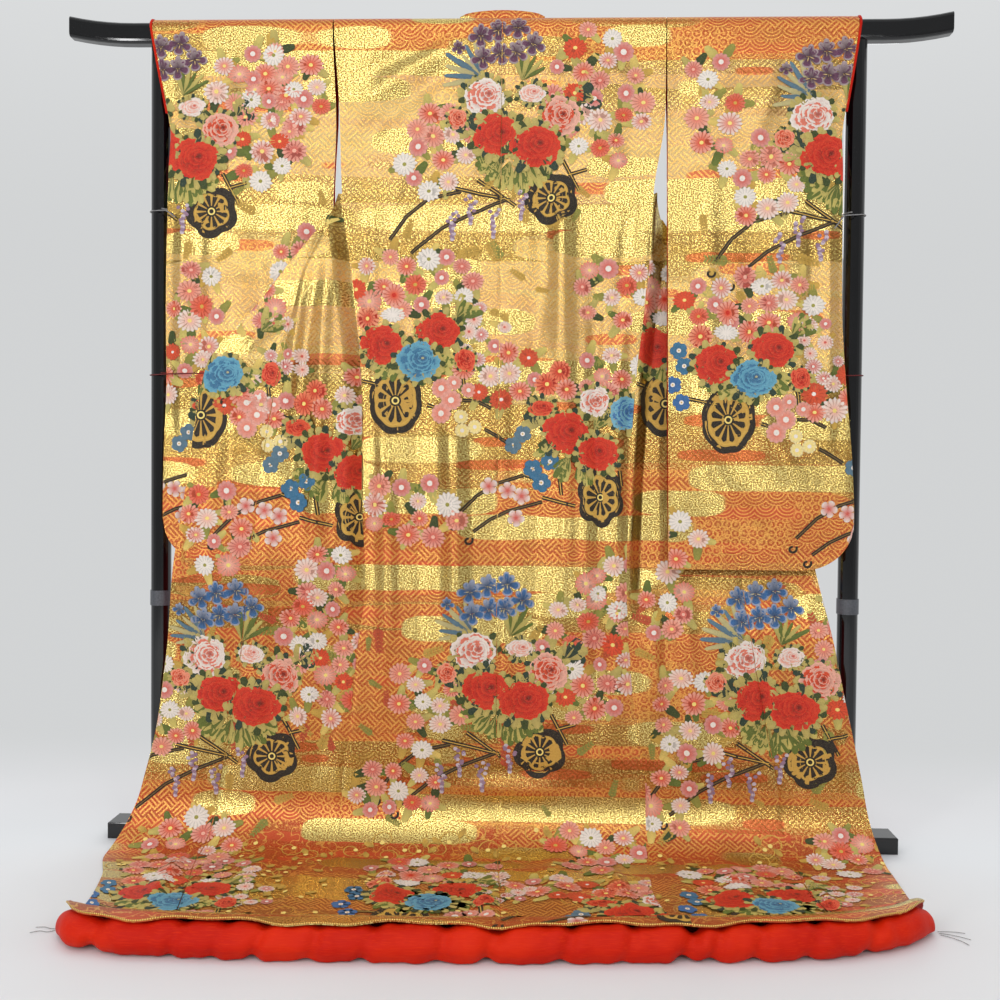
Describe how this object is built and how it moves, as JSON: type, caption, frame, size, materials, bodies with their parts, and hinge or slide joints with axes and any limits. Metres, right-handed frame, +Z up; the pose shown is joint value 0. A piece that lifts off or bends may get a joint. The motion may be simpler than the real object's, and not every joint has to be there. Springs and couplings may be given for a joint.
{
  "type": "uchikake wedding kimono on a lacquered kimono stand",
  "caption": "Long-sleeved bridal over-kimono hung by its sleeves from a black lacquered stand, its back shown, its train run forward over the floor to a padded red hem roll.",
  "frame": {"origin": "on the floor, at the middle of the whole object's box", "axes": "+Z up, +X along the stand's bar, the garment's back and its train face -Y"},
  "size_m": [1.62, 0.7884, 1.5425],
  "materials": {
    "gold_brocade": "gold-thread silk brocade with woven flower carts",
    "vermilion_silk": "plain weave vermilion silk",
    "black_lacquer": "gloss black lacquer",
    "joint_sleeve": "dark satin sleeve",
    "grey_cord": "thin grey cord",
    "red_cord": "thin dark red cord"
  },
  "bodies": {
    "root": {"back_left": "gold_brocade", "back_right": "gold_brocade", "base_stretcher": "black_lacquer", "body_tie_left": "red_cord", "body_tie_right": "red_cord", "collar_left": "gold_brocade", "collar_neck": "gold_brocade", "collar_right": "gold_brocade", "cuff_piping_left": "vermilion_silk", "cuff_piping_right": "vermilion_silk", "foot_left": "black_lacquer", "foot_right": "black_lacquer", "front_left": "gold_brocade", "front_left_top": "gold_brocade", "front_right": "gold_brocade", "front_right_top": "gold_brocade", "hem_roll": "vermilion_silk", "hem_thread_left_1": "grey_cord", "hem_thread_left_2": "grey_cord", "hem_thread_right_1": "grey_cord", "hem_thread_right_2": "grey_cord", "hem_thread_right_3": "grey_cord", "okumi_left": "gold_brocade", "okumi_right": "gold_brocade", "post_joint_left": "joint_sleeve", "post_joint_right": "joint_sleeve", "post_left": "black_lacquer", "post_right": "black_lacquer", "sleeve_left_far": "gold_brocade", "sleeve_left_near": "gold_brocade", "sleeve_right_far": "gold_brocade", "sleeve_right_near": "gold_brocade", "sleeve_tie_left": "grey_cord", "sleeve_tie_right": "grey_cord", "top_bar": "black_lacquer"}
  },
  "joints": []
}
